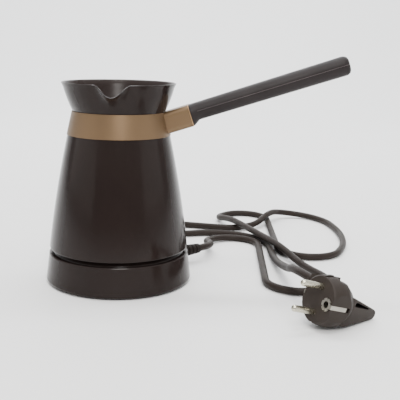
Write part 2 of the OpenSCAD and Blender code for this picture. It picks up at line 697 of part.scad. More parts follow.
module socket_block(len, grow = 0) {
    translate([0, 0, -socket_drop]) rotate([90, 0, 90]) linear_extrude(height = len)
        round_rect(socket_w - 2 * grow, socket_h - 2 * grow, 3.5 - grow);
}

// Band round the neck and the handle's socket, one casting
bore_run = 20;                                     // how far the bore's cut runs past the band
socket_root = 20;                                  // the socket grows out of the band from here
module neck_band() {
    bore_top = [pot_r1 - band_in, neck_z + bore_run];
    bore_foot = [pot_r(band_z) - band_in, band_z - bore_run];
    color([0.57, 0.45, 0.33]) difference() {
        union() {
            rotate_extrude() polygon(concat(side_pts(band_z, neck_z, -band_proud, 6),
                back(side_pts(band_z, neck_z, band_in, 6))));
            on_handle() translate([socket_root, 0, 0]) socket_block(socket_reach - socket_root);
        }
        rotate_extrude() polygon(concat([[0, bore_foot[1]]], [bore_foot],
            side_pts(band_z, neck_z, band_in, 6), [bore_top, [0, bore_top[1]]]));
        on_handle() translate([socket_floor, 0, 0]) socket_block(socket_reach, socket_wall);
        on_handle() translate([socket_root, 0, -socket_drop]) rotate([0, 90, 0])
            cylinder(h = socket_reach - socket_root, r = handle_screw_d / 2 + 0.1);
    }
}

module inner_vessel() {
    lower = plate_top + corner_r;
    floor_r = pot_r(lower) - vessel_in - corner_r;
    inner_r = corner_r - vessel_t;
    color([0.75, 0.75, 0.76]) rotate_extrude() polygon(concat(
        [[0, plate_top]],
        [for (a = [-90:15:0]) [floor_r + corner_r * cos(a), lower + corner_r * sin(a)]],
        side_pts(lower + 1, vessel_top - vessel_t, vessel_in),
        [[flange_r, vessel_top - vessel_t], [flange_r, vessel_top]],
        back(side_pts(lower + 1, vessel_top, vessel_in + vessel_t)),
        [for (a = [0:-15:-90]) [floor_r + inner_r * cos(a), lower + inner_r * sin(a)]],
        [[0, floor_z]]));
}

module vessel_gasket() {
    color([0.75, 0.3, 0.2]) translate([0, 0, vessel_top])
        ring(flange_r - 0.3, pot_r(ledge_z) - liner_in - 0.2, ledge_z - vessel_top);
}

// ---------------------------------------------------------------- heater and wiring inside the pot

element_r = element_tube_d / 2;
element_z = plate_z - element_r;
element_gap = 40;                                  // opening of the ring, where its ends turn down
tail_r = 1.2;
tail_end = element_z - element_r - 3;

module heating_plate() {
    color([0.7, 0.71, 0.72]) difference() {
        union() {
            translate([0, 0, plate_z]) cylinder(h = plate_t - 1, r = plate_r);
            translate([0, 0, plate_z])
                cylinder(h = plate_t, r = pot_r(plate_top + corner_r) - vessel_in - corner_r);
        }
        around(boss_n, boss_ring, boss_az) translate([0, 0, plate_z - cut])
            cylinder(h = plate_t + 2 * cut, r = screw_d / 2 - 0.1);
    }
}

// The two ends of the ring and what sits there, mirrored about the spout's direction
module at_ends() {
    for (s = [-1, 1]) rotate([0, 0, 270 + s * element_gap / 2]) translate([element_d / 2, 0, 0]) children();
}

module heating_element() {
    color([0.45, 0.45, 0.46]) {
        rotate([0, 0, 270 + element_gap / 2]) rotate_extrude(angle = 360 - element_gap)
            translate([element_d / 2, element_z]) circle(r = element_r, $fn = 32);
        at_ends() {
            translate([0, 0, element_z]) sphere(r = element_r, $fn = 32);
            translate([0, 0, tail_end]) cylinder(h = element_z - tail_end, r = tail_r);
        }
    }
}

module element_insulators() {
    color([0.92, 0.9, 0.85]) at_ends()
        translate([0, 0, element_z - element_r - 2]) ring(2.4, tail_r + 0.02, 2);
}

module thermostat() {
    r = thermostat_d / 2;
    color([0.85, 0.83, 0.78]) translate([0, 0, plate_z - 5]) {
        cylinder(h = 3.6, r = r - 0.8);
        translate([0, 0, 3.6]) cylinder(h = 1.4, r = r);
        for (s = [-1, 1]) translate([-2.2, s * (r + 1.2) - 3, 1.2]) cube([4.4, 6, 0.7]);
    }
}

fuse_x = 17.5;
fuse_z = plate_z - 2.2;
module thermal_fuse() {
    color([0.85, 0.72, 0.6]) translate([fuse_x, -8, fuse_z]) rotate([-90, 0, 0]) {
        cylinder(h = 14, r = 2.2);
        translate([0, 0, -5]) cylinder(h = 24, r = 0.6);
    }
}

// Wires from the connector's tabs to the element, the thermostat and the switch
module pot_wires() {
    wire_r = 0.9;
    r0 = socket_r + 2;
    z0 = flange_z + flange_t + wire_r + 0.9;
    zt = tail_end - wire_r - 0.05;
    thermo_z = plate_z - 3.85 - wire_r;
    under_z = element_z - element_r - 1.6;         // the wire passes below the ring
    tab_gap = 0.5;                                 // the slanted ends stay clear of the switch's tabs
    color([0.2, 0.35, 0.7])
        wire([[0, r0, z0], [0, 24, z0], [0, 36, switch_z], [0, terminal_y - tab_gap, switch_z]], wire_r);
    color([0.55, 0.35, 0.16]) {
        wire([[-r0, 0, z0], [-22, 0, z0 + 3], [-14, 5, thermo_z], [0, 10, thermo_z]], wire_r);
        wire([[4, terminal_y - tab_gap, switch_z], [4, terminal_y - 4, under_z], [10, 22, under_z],
            [fuse_x, 18, fuse_z], [fuse_x, 11.2, fuse_z]], wire_r);
        for (s = [-1, 1]) rotate([0, 0, 270 + s * element_gap / 2])
            wire([[element_d / 2, 0, zt], [element_d / 2 - 6, 0, zt], [r0 + 1, 0, z0]], wire_r);
    }
}

module pot_bottom_cover() {
    wall_r = socket_r + run_gap + 7;
    vent_n = 24;
    color([0.13, 0.12, 0.12]) difference() {
        union() {
            translate([0, 0, cover_z]) cylinder(h = cover_t - 0.5, r = cover_r);
            translate([0, 0, cover_z]) cylinder(h = cover_t, r = cover_seat_r - 0.2);
            translate([0, 0, cover_z]) ring(wall_r, wall_r - 1.6, cover_t + 2.2);
        }
        translate([0, 0, cover_z - cut]) cylinder(h = cover_t + 2 * cut, r = socket_r + run_gap);
        around(boss_n, boss_ring, boss_az) {
            translate([0, 0, cover_z - cut]) cylinder(h = cover_t + 2 * cut, r = screw_d / 2 + 0.2);
            translate([0, 0, cover_z - cut]) cylinder(h = screw_head_h + cut, r = screw_d + 0.2);
        }
        around(vent_n, 36, 0) translate([-4, -0.6, cover_z - cut]) cube([8, 1.2, cover_t + 2 * cut]);
    }
}

module bottom_screws() {
    color([0.72, 0.72, 0.72]) around(boss_n, boss_ring, boss_az) translate([0, 0, cover_z])
        pan_screw(plate_top - cover_z - 1.4, screw_d / 2 - 0.1);
}

// ---------------------------------------------------------------- handle

grip_n = 40;
// Point i of a flattened oval, w wide and h high
function oval(i, w, h, x, z) = let (a = i * 360 / grip_n, c = cos(a), s = sin(a))
    [x, sign(c) * pow(abs(c), 0.62) * w / 2, z + sign(s) * pow(abs(s), 0.9) * h / 2];
// Distance along the grip, width, height and drop of each oval
function grip_rings() = concat(
    [[0, socket_w, socket_h, -socket_drop], [0.8, socket_w, socket_h, -socket_drop]],
    [for (a = [15:15:90]) let (k = 1 - sin(a))
        [0.8 + grip_root * sin(a), grip_w + (socket_w - grip_w) * k, grip_h + (socket_h - grip_h) * k,
         -socket_drop * k]],
    [for (a = [0:18:72]) let (k = 1 - cos(a))
        [grip_len - grip_round * (1 - sin(a)), grip_w - 2 * grip_round * k,
         grip_end_h - 1.5 * grip_round * k, 0]],
    [[grip_len, grip_w - 1.7 * grip_round, grip_end_h - 1.25 * grip_round, 0]]);

module handle_grip() {
    g = grip_rings();
    m = len(g);
    n = grip_n;
    pts = concat([for (r = g) each [for (i = [0:n - 1]) oval(i, r[1], r[2], socket_reach + r[0], r[3])]],
        [[socket_reach, 0, -socket_drop], [socket_reach + grip_len, 0, 0]]);
    faces = concat(
        [for (k = [0:m - 2], i = [0:n - 1]) let (a = k * n + i, b = k * n + (i + 1) % n)
            each [[a, a + n, b + n], [a, b + n, b]]],
        [for (i = [0:n - 1]) [m * n, i, (i + 1) % n]],
        [for (i = [0:n - 1]) let (k = (m - 1) * n) [m * n + 1, k + (i + 1) % n, k + i]]);
    color([0.26, 0.24, 0.23]) on_handle() difference() {
        union() {
            polyhedron(pts, faces, convexity = 4);
            translate([tongue_start, 0, 0])
                socket_block(socket_reach + 0.2 - tongue_start, socket_wall + fit_gap);
        }
        translate([tongue_start - cut, 0, -socket_drop]) rotate([0, 90, 0])
            cylinder(h = insert_len + 0.4 + cut, r = insert_d / 2);
    }
}

module handle_insert() {
    color([0.8, 0.66, 0.35]) on_handle() translate([tongue_start + 0.2, 0, -socket_drop]) rotate([0, 90, 0])
        ring(insert_d / 2 - 0.02, handle_screw_d / 2 + 0.02, insert_len);
}

// Countersunk screw from inside the neck into the grip's insert
module handle_screw() {
    head_r = handle_screw_d - 0.5;
    color([0.72, 0.72, 0.72]) on_handle() translate([screw_head_x, 0, -socket_drop]) rotate([0, 90, 0]) {
        cylinder(h = screw_head_t, r1 = head_r, r2 = handle_screw_d / 2);
        cylinder(h = tongue_start + insert_len - 1 - screw_head_x, r = handle_screw_d / 2);
    }
}

// ---------------------------------------------------------------- switch and centre connector

switch_wall = 1;
well_w = switch_w - 2 * switch_wall;
well_h = switch_h - 2 * switch_wall;
well_depth = 7;                                    // depth of the well that the rocker sits in
lamp_r = 1.3;
pin_r = 0.8;                                       // the rocker's pivot pin
pin_fit = 0.04;
pin_half = switch_h / 2 - 0.2;
terminal_len = 4.5;
terminal_y = switch_y - switch_depth - terminal_len;

module switch_body() {
    color([0.08, 0.08, 0.08]) difference() {
        translate([0, switch_y, switch_z]) {
            rotate([-90, 0, 0]) linear_extrude(height = bezel_t) round_rect(bezel_w, bezel_h, 1);
            translate([-switch_w / 2, -switch_depth, -switch_h / 2])
                cube([switch_w, switch_depth + 0.5, switch_h]);
        }
        translate([-well_w / 2, switch_y - well_depth, switch_z - well_h / 2])
            cube([well_w, well_depth + bezel_t + cut, well_h]);
        translate([0, pivot_y, switch_z])
            cylinder(h = 2 * pin_half + 0.2, r = pin_r + pin_fit, center = true);
    }
}

module switch_terminals() {
    color([0.8, 0.66, 0.35]) for (x = [-4, 0, 4]) translate([x - 0.4, terminal_y, switch_z - 2])
        cube([0.8, terminal_len, 4]);
}

module pilot_lamp() {
    color([0.9, 0.35, 0.2]) translate([0, switch_y - well_depth + lamp_r, switch_z])
        rotate([0, 90, 0]) cylinder(h = 6, r = lamp_r, center = true);
}

// The rocker is modelled at rest in the off position, tipped to one side
module rocker_button() {
    w = well_w - 1.2;
    h = well_h - 0.6;
    color([0.75, 0.12, 0.08]) translate([0, pivot_y, switch_z]) rotate([0, 0, -rocker_swing / 2]) {
        difference() {
            translate([0, 0, -h / 2]) linear_extrude(height = h) polygon([
                [-w / 2, -1], [-w / 2, 1.9], [-w / 4, 1.25], [0, 1.05], [w / 4, 1.25], [w / 2, 1.9],
                [w / 2, -1], [1.2, -2.6], [-1.2, -2.6]]);
            translate([w / 4 + 0.6, 1.3, -1.2]) cube([0.5, 2, 2.4]);
        }
        cylinder(h = 2 * pin_half, r = pin_r, center = true);
    }
}

module pot_connector() {
    bore_h = socket_top - socket_t - socket_z;
    color([0.82, 0.8, 0.75]) translate([0, 0, socket_z]) difference() {
        union() {
            cylinder(h = socket_top - socket_z, r = socket_r);
            translate([0, 0, flange_z - socket_z]) cylinder(h = flange_t, r = socket_r + 3.4);
        }
        translate([0, 0, -cut]) cylinder(h = bore_h + cut, r = contact_r + run_gap);
        translate([0, 0, -cut])
            ring(tower_r + contact_t + run_gap, tower_r - tower_t - contact_t - run_gap, bore_h + cut);
    }
}

module pot_contacts() {
    color([0.8, 0.66, 0.35]) around(3, 12, 90) translate([-1.8, -1.8, socket_top]) cube([3.6, 3.6, 0.5]);
}

base_cover();
base_pan();
rubber_feet();
base_screws();
base_connector();
base_contacts();
base_wires();
cord_clamp();
cord_clamp_screws();
cord_tail();
strain_relief();
power_cord();
plug_body();
plug_pins();
plug_earth_clips();
pot_shell();
pot_collar();
neck_band();
inner_vessel();
vessel_gasket();
heating_plate();
heating_element();
element_insulators();
thermostat();
thermal_fuse();
pot_wires();
pot_bottom_cover();
bottom_screws();
handle_grip();
handle_screw();
handle_insert();
switch_body();
switch_terminals();
pilot_lamp();
rocker_button();
pot_connector();
pot_contacts();
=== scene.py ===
"""Looks of an electric Turkish coffee maker: finishes, cord, thin trim, light and camera.

Laid out as an add-on and run as a script. Lengths are metres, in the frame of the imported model: the pot's
axis is Z, the table is z = 0, the handle points to +X and the pouring notch to -Y.
"""

import math

import bmesh
import bpy
from bpy.props import FloatProperty, FloatVectorProperty, PointerProperty
from mathutils import Matrix, Vector


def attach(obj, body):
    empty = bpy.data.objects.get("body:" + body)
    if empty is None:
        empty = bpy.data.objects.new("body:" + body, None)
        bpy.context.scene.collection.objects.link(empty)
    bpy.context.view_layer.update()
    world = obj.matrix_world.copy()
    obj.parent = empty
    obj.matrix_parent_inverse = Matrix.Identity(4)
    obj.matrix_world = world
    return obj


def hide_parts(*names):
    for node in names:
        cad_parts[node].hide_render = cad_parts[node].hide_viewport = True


bl_info = {
    "name": "Turkish Coffee Maker",
    "version": (1, 0, 0),
    "blender": (4, 5, 0),
    "location": "3D View > Sidebar > Coffee Maker",
    "description": "Dresses an electric coffee pot, its power base, cord and plug",
    "category": "Add Mesh",
}

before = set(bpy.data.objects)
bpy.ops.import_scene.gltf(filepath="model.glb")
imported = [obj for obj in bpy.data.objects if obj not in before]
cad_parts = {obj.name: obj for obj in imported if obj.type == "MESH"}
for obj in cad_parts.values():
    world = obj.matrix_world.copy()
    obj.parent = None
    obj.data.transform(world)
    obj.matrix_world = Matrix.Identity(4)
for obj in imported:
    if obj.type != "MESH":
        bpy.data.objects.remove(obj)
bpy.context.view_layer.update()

MM = 0.001
CORD_D = 6.4 * MM
CREASE = 28.0  # Edges that turn by more than this many degrees stay sharp

# The camera's place, and its yaw, its pitch downwards and its roll in degrees
CAMERA_PLACE = (0.07374, -0.60059, 0.1951)
CAMERA_TURN = (-0.645, 11.895, 1.299)
SENSOR_WIDTH = 36.0

# The handle's own frame: x runs along the handle from the pot's axis, y to the rear, z upwards
HANDLE_ROOT = 121 * MM
HANDLE_SLOPE = math.radians(18.3)
HANDLE = Matrix.Translation((0.0, 0.0, HANDLE_ROOT)) @ Matrix.Rotation(-HANDLE_SLOPE, 4, "Y")

# Light
WARM = (1.0, 0.975, 0.94)
COOL = (0.955, 0.98, 1.0)
DAYLIGHT = (0.985, 0.99, 1.0, 1.0)

# Sheaths of the wires
LIVE_BROWN = (0.16, 0.055, 0.015)
NEUTRAL_BLUE = (0.02, 0.06, 0.30)
EARTH_GREEN = (0.10, 0.24, 0.02)


# ---------------------------------------------------------------- finishes


class Val:
    """A node's output, with the usual operators for sums on numbers."""

    def __init__(self, nodes, socket):
        self.nodes, self.socket = nodes, socket

    def out(self, name):
        """Another output of the same node."""
        return Val(self.nodes, self.socket.node.outputs[name])

    def _math(self, operation, a, b=None):
        values = {0: a} if b is None else {0: a, 1: b}
        return self.nodes.node("ShaderNodeMath", {"operation": operation}, values)

    def __add__(self, other):
        return self._math("ADD", self, other)

    __radd__ = __add__

    def __sub__(self, other):
        return self._math("SUBTRACT", self, other)

    def __rsub__(self, other):
        return self._math("SUBTRACT", other, self)

    def __mul__(self, other):
        return self._math("MULTIPLY", self, other)

    __rmul__ = __mul__

    def __gt__(self, other):
        return self._math("GREATER_THAN", self, other)

    def __lt__(self, other):
        return self._math("LESS_THAN", self, other)

    def __abs__(self):
        return self._math("ABSOLUTE", self)


class Nodes:
    """The nodes of one tree: a material's, the world's or a group's."""

    def __init__(self, tree):
        self.tree = tree

    def node(self, kind, settings=None, values=None, out=0):
        """Makes any node: settings first (a ramp's stops among them), then its sockets."""
        n = self.tree.nodes.new(kind)
        for key, value in (settings or {}).items():
            if key == "stops":
                ramp = n.color_ramp
                while len(ramp.elements) < len(value):
                    ramp.elements.new(0.5)
                for stop, (place, grey) in zip(ramp.elements, value):
                    stop.position = place
                    stop.color = (grey, grey, grey, 1.0)
            else:
                setattr(n, key, value)
        for key, value in (values or {}).items():
            if isinstance(value, Val):
                self.tree.links.new(value.socket, n.inputs[key])
            else:
                n.inputs[key].default_value = value
        return Val(self, n.outputs[out]) if len(n.outputs) else None


class Finish(Nodes):
    """One material: a Principled shader and the nodes that vary it over the surface."""

    def __init__(self, name, colour, roughness, **constants):
        """What is the same all over is set on the shader's own sockets."""
        self.material = bpy.data.materials.new(name)
        self.material.use_nodes = True
        super().__init__(self.material.node_tree)
        self.shader = next(n for n in self.tree.nodes if n.type == "BSDF_PRINCIPLED")
        self.colour = tuple(colour)[:3] + (1.0,)
        self.material.diffuse_color = self.colour
        self.shader.inputs["Base Color"].default_value = self.colour
        self.shader.inputs["Roughness"].default_value = roughness
        for socket, value in constants.items():
            self.shader.inputs[socket.replace("_", " ")].default_value = value

    def place(self):
        """The point on the piece, in metres."""
        return self.node("ShaderNodeTexCoord", out="Object")

    def normal(self):
        """The direction in which the surface looks."""
        return self.node("ShaderNodeTexCoord", out="Normal")

    def across(self):
        """The point's x and y, each by itself."""
        x = self.node("ShaderNodeSeparateXYZ", {}, {0: self.place()})
        return x, x.out("Y")

    def stretched(self, scale):
        """The point with each coordinate scaled, which draws a texture out along the smaller ones."""
        return self.node("ShaderNodeMapping", {}, {"Vector": self.place(), "Scale": scale})

    def noise(self, scale, detail=2.0, rough=0.5, vector=None):
        """Soft random values from 0 to 1, about scale patches to the metre."""
        return self.node("ShaderNodeTexNoise", {"noise_dimensions": "3D"},
                         {"Vector": vector or self.place(), "Scale": scale, "Detail": detail,
                          "Roughness": rough})

    def ramp(self, value, low, high):
        """0 up to low, 1 from high, and even in between."""
        return self.node("ShaderNodeValToRGB", {"stops": [(low, 0.0), (high, 1.0)]}, {0: value})

    def blend(self, mask, a, b):
        """Colour a where mask is 0 and b where it is 1."""
        # The Mix node's colour sockets go by number, because its names are used more than once
        return self.node("ShaderNodeMix", {"data_type": "RGBA"}, {0: mask, 6: a, 7: b}, out=2)

    def vector(self, operation, a, b, out="Vector"):
        """Maths on vectors, of which some operations give a number, at the output Value."""
        return self.node("ShaderNodeVectorMath", {"operation": operation}, {0: a, 1: b}, out)

    def feed(self, socket, value):
        """Leads a value that changes over the surface to the shader."""
        self.tree.links.new(value.socket, self.shader.inputs[socket])

    def bump(self, height, strength, distance):
        """Relief too fine to model; distance is its height in metres."""
        relief = {"Strength": strength, "Distance": distance, "Height": height}
        self.feed("Normal", self.node("ShaderNodeBump", {}, relief))


def shade(colour, k):
    """The colour made lighter or darker, with its alpha."""
    return tuple(min(1.0, c * k) for c in colour[:3]) + (1.0,)


def orange_peel(name, colour, roughness, shine):
    """Gloss plastic of one colour, with the faint waves that a polished mould leaves."""
    f = Finish(name, colour, roughness, IOR=1.5, Specular_IOR_Level=shine)
    f.bump(f.noise(scale=420.0, detail=1.0), strength=0.10, distance=0.4 * MM)
    return f


def gloss_plastic(name, colour, roughness=0.16, clouds=0.25, shine=0.145):
    """Moulded gloss plastic in use: hazier and cleaner patches and a few specks."""
    f = orange_peel(name, colour, roughness, shine)
    patches = f.noise(scale=16.0, detail=3.0)
    haze = f.noise(scale=38.0, detail=4.0)
    specks = f.noise(scale=2600.0, detail=2.0) > 0.745  # only its highest peaks
    f.feed("Base Color", f.blend(patches, shade(colour, 1 - clouds), shade(colour, 1 + clouds)))
    f.feed("Roughness", roughness * 0.7 + haze * (roughness * 0.6) + specks * 0.18)
    return f


def matte_plastic(name, colour, roughness=0.55, grain=2300.0, strength=0.35, clouds=0.12, shine=0.15):
    """Spark-eroded moulding: fine grain in the surface and rubbed lighter patches."""
    f = Finish(name, colour, roughness, IOR=1.47, Specular_IOR_Level=shine)
    wear = f.ramp(f.noise(scale=55.0, detail=5.0, rough=0.6), 0.42, 0.72)
    f.feed("Base Color", f.blend(wear, shade(colour, 1 - clouds), shade(colour, 1 + clouds)))
    f.feed("Roughness", roughness + 0.10 - f.noise(scale=90.0, detail=3.0) * 0.2)
    f.bump(f.noise(scale=grain, detail=2.0, rough=0.7), strength, distance=0.12 * MM)
    return f


def metal(name, colour, roughness=0.3, streak=(1.0, 1.0, 1.0), scale=700.0, tarnish=0.0):
    """Drawn or turned metal, with fine lines along its own direction."""
    f = Finish(name, colour, roughness, Metallic=1.0)
    lines = f.noise(scale, detail=3.0, rough=0.6, vector=f.stretched(streak))
    stains = f.ramp(f.noise(scale=120.0, detail=4.0), 0.45, 0.75)
    dull = f.blend(stains * tarnish, shade(colour, 1.0), shade(colour, 0.55))
    f.feed("Base Color", f.blend(lines * 0.5, dull, shade(colour, 0.86)))
    f.feed("Roughness", roughness * 0.75 + lines * (roughness * 0.5) + stains * (0.25 * tarnish))
    f.bump(lines, strength=0.12, distance=0.08 * MM)
    return f


def rubber(name, colour, roughness=0.62, grain=1500.0):
    """Soft black rubber or cord sheath, with a patchy bloom and a fine skin."""
    f = Finish(name, colour, roughness, IOR=1.45, Specular_IOR_Level=0.15)
    bloom = f.noise(scale=70.0, detail=4.0, rough=0.6)
    f.feed("Base Color", f.blend(bloom, shade(colour, 0.85), shade(colour, 1.18)))
    f.feed("Roughness", roughness - 0.12 + bloom * 0.2)
    f.bump(f.noise(scale=grain, detail=2.0), strength=0.2, distance=0.15 * MM)
    return f


def collar_gloss(colour, roughness):
    """Gloss outside; inside, where the faces look to the pot's axis, the mould is only satin, and its colour
    is painted lighter as a painted sheen.
    """
    f = orange_peel("Collar gloss", colour, roughness, shine=0.12)
    outward = f.vector("MULTIPLY", f.place(), (1.0, 1.0, 0.0))
    inside = f.vector("DOT_PRODUCT", f.normal(), outward, out="Value") < 0.0
    haze = f.noise(scale=60.0, detail=3.0) * 0.06
    # Painted sheen: the inside is the same plastic, painted lighter than the outside
    f.feed("Base Color", f.blend(inside, f.colour, shade(colour, 1.5)))
    f.feed("Roughness", roughness + haze + inside * 0.09)
    return f


def bronze_paint(colour):
    """Satin paint with fine metal flake, a little deeper in tone here and there."""
    f = Finish("Satin bronze paint", colour, 0.42, Metallic=0.6)
    flake = f.noise(scale=3800.0, detail=1.0)
    depth = f.noise(scale=30.0, detail=3.0)
    tone = f.blend(flake, shade(colour, 0.86), shade(colour, 1.14))
    f.feed("Base Color", f.blend(depth * 0.35, tone, shade(colour, 0.9)))
    f.feed("Roughness", 0.34 + flake * 0.12 + depth * 0.06)
    f.bump(flake, strength=0.12, distance=0.1 * MM)
    return f


def sheathed_wires(name, pick, colours):
    """Wires of two or three colours in one piece: pick gives the masks from the place."""
    f = Finish(name, colours[0], 0.42, IOR=1.46)
    colour = None
    for mask, tint in zip(pick(f), colours[1:]):
        colour = f.blend(mask, colour or colours[0] + (1.0,), tint + (1.0,))
    bloom = f.noise(scale=900.0, detail=2.0)
    f.feed("Base Color", colour)
    f.feed("Roughness", 0.34 + bloom * 0.16)
    f.bump(bloom, strength=0.1, distance=0.1 * MM)
    return f


# ---------------------------------------------------------------- shapes


def softened_group():
    """Geometry nodes that shade a mesh smooth, but for edges sharper than an angle."""
    name = "Soft shading"
    if name in bpy.data.node_groups:
        return bpy.data.node_groups[name]
    group = bpy.data.node_groups.new(name, "GeometryNodeTree")
    group.interface.new_socket("Geometry", in_out="INPUT", socket_type="NodeSocketGeometry")
    group.interface.new_socket("Angle", in_out="INPUT", socket_type="NodeSocketFloat")
    group.interface.new_socket("Geometry", in_out="OUTPUT", socket_type="NodeSocketGeometry")
    nodes = Nodes(group)
    start = nodes.node("NodeGroupInput")
    clean = nodes.node("GeometryNodeRemoveAttribute", {}, {"Geometry": start, "Name": "custom_normal"})
    weld = nodes.node("GeometryNodeMergeByDistance", {}, {"Geometry": clean, "Distance": 0.002 * MM})
    smooth = nodes.node("GeometryNodeSetShadeSmooth", {"domain": "FACE"}, {"Geometry": weld})
    turn = nodes.node("GeometryNodeInputMeshEdgeAngle", out="Unsigned Angle")
    sharp = nodes.node("FunctionNodeCompare", {"operation": "GREATER_THAN"}, {0: turn, 1: start.out("Angle")})
    creased = nodes.node("GeometryNodeSetShadeSmooth", {"domain": "EDGE"},
                         {"Geometry": smooth, "Selection": sharp, "Shade Smooth": False})
    nodes.node("NodeGroupOutput", {}, {"Geometry": creased})
    return group


def soften(obj, crease):
    """Shades a piece smooth across edges that turn by less than crease, in degrees."""
    modifier = obj.modifiers.new("Soft shading", "NODES")
    modifier.node_group = softened_group()
    angle = next(item for item in modifier.node_group.interface.items_tree if item.name == "Angle")
    modifier[angle.identifier] = math.radians(crease)


def dress(node, finish, crease=CREASE):
    """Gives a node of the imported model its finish. Its mesh and place stay as they are."""
    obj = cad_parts[node]
    obj.data.materials.clear()
    obj.data.materials.append(finish.material)
    soften(obj, crease)


def swept(name, path, section, finish, closed=False):
    """A thin strip that rides with the pot: section gives its outline at one of the path's points."""
    bm = bmesh.new()
    rows = [[bm.verts.new(q) for q in section(p)] for p in path]
    for a, b in zip(rows, rows[1:] + (rows[:1] if closed else [])):
        for i in range(len(a)):
            j = (i + 1) % len(a)
            bm.faces.new((a[i], a[j], b[j], b[i]))
    if not closed:
        bm.faces.new(rows[0])
        bm.faces.new(reversed(rows[-1]))
    bmesh.ops.recalc_face_normals(bm, faces=bm.faces)
    mesh = bpy.data.meshes.new(name)
    bm.to_mesh(mesh)
    bm.free()
    obj = bpy.data.objects.new(name, mesh)
    bpy.context.scene.collection.objects.link(obj)
    mesh.materials.append(finish.material)
    soften(obj, CREASE)
    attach(obj, "pot")


def rounded(corners, step):
    """The line through corners, each rounded by an arc that takes half of its shorter leg."""
    points = [corners[0]]
    last = len(corners) - 1
    for i in range(1, last):
        p = corners[i]
        a, b = corners[i - 1] - p, corners[i + 1] - p
        # A leg at either end of the line belongs to one arc alone, so that arc may take all of it
        leg = 0.999 * min(a.length / (1 if i == 1 else 2), b.length / (1 if i == last - 1 else 2))
        u, v = a.normalized(), b.normalized()
        turn = math.pi - math.acos(max(-1.0, min(1.0, u.dot(v))))
        if turn < math.radians(0.5):  # the line runs straight on
            points.append(p)
            continue
        r = leg / math.tan(turn / 2)
        middle = p + (u + v).normalized() * (r / math.cos(turn / 2))
        start = p + leg * u - middle
        n = max(1, math.ceil(r * turn / step))
        for k in range(n):
            t = turn * (k + 0.5) / n
            points.append(middle + start * math.cos(t) - u * (r * math.sin(t)))
    return points + [corners[last]]


# ---------------------------------------------------------------- settings


class CoffeeFinishes(bpy.types.PropertyGroup):
    """Colours of the visible finishes, linear."""

    shell: FloatVectorProperty(name="Gloss shell", description="Pot, collar and base cover",
                               subtype="COLOR", size=3, min=0.0, max=1.0, default=(0.0152, 0.0104, 0.0093))
    bronze: FloatVectorProperty(name="Bronze", description="Neck band and handle socket",
                                subtype="COLOR", size=3, min=0.0, max=1.0, default=(0.160, 0.1005, 0.0520))
    grip: FloatVectorProperty(name="Grip", description="Matte plastic of the handle",
                              subtype="COLOR", size=3, min=0.0, max=1.0, default=(0.0222, 0.0184, 0.0186))
    cord: FloatVectorProperty(name="Cord", description="Sheath of the power cord",
                              subtype="COLOR", size=3, min=0.0, max=1.0, default=(0.0205, 0.0150, 0.0126))
    plug: FloatVectorProperty(name="Plug", description="Moulded body of the plug",
                              subtype="COLOR", size=3, min=0.0, max=1.0, default=(0.0300, 0.0232, 0.0196))
    pins: FloatVectorProperty(name="Plug pins", description="Plating of the plug's two pins",
                              subtype="COLOR", size=3, min=0.0, max=1.0, default=(0.58, 0.55, 0.44))
    brass: FloatVectorProperty(name="Brass", description="Contacts, terminals and the handle's insert",
                               subtype="COLOR", size=3, min=0.0, max=1.0, default=(0.70, 0.52, 0.22))
    vessel: FloatVectorProperty(name="Vessel", description="Spun steel of the inner vessel",
                                subtype="COLOR", size=3, min=0.0, max=1.0, default=(0.58, 0.58, 0.59))
    rocker: FloatVectorProperty(name="Rocker", description="Button of the switch",
                                subtype="COLOR", size=3, min=0.0, max=1.0, default=(0.42, 0.016, 0.010))
    shell_roughness: FloatProperty(name="Shell roughness", description="Lower is glossier",
                                   subtype="FACTOR", min=0.02, max=1.0, default=0.16)


class CoffeeStage(bpy.types.PropertyGroup):
    """Floor, light and camera."""

    floor: FloatVectorProperty(name="Floor", description="Colour of the floor and its backdrop",
                               subtype="COLOR", size=3, min=0.0, max=1.0, default=(0.86, 0.857, 0.85))
    world: FloatProperty(name="Surrounding light", description="Strength of the even light from all round",
                         min=0.0, max=3.0, default=1.75)
    horizon: FloatProperty(name="Horizon light", description="Share of it near the horizon",
                           subtype="FACTOR", min=0.0, max=1.0, default=0.2)
    front: FloatProperty(name="Front light", description="Share of it that comes from the camera's side",
                         subtype="FACTOR", min=0.0, max=1.0, default=0.5)
    key: FloatProperty(name="Key light", description="Power that scales the four lights on the object",
                       subtype="POWER", unit="POWER", min=0.0, max=200.0, default=7.0)
    wall: FloatProperty(name="Wall light", description="Power of the light on the backdrop",
                        subtype="POWER", unit="POWER", min=0.0, max=200.0, default=75.0)
    lens: FloatProperty(name="Lens", description="Focal length in millimetres on a 36 mm sensor",
                        min=20.0, max=200.0, default=66.825)


class CoffeeDetail(bpy.types.PropertyGroup):
    """Sizes of the cord's steps and of the thin trim."""

    cord_step: FloatProperty(name="Cord step", description="Distance between points of the cord",
                             unit="LENGTH", min=0.001, max=0.02, default=0.003)
    # The strip at the socket's end carries a painted highlight, lighter than the bronze
    edge_proud: FloatProperty(name="Highlight edge", description="How far the socket's worn edge stands proud",
                              unit="LENGTH", min=0.0, max=0.0002, default=0.00005)
    ridge_proud: FloatProperty(name="Parting line", description="How far the parting lines stand proud",
                               unit="LENGTH", min=0.0, max=0.0004, default=0.0001)


# ---------------------------------------------------------------- operators


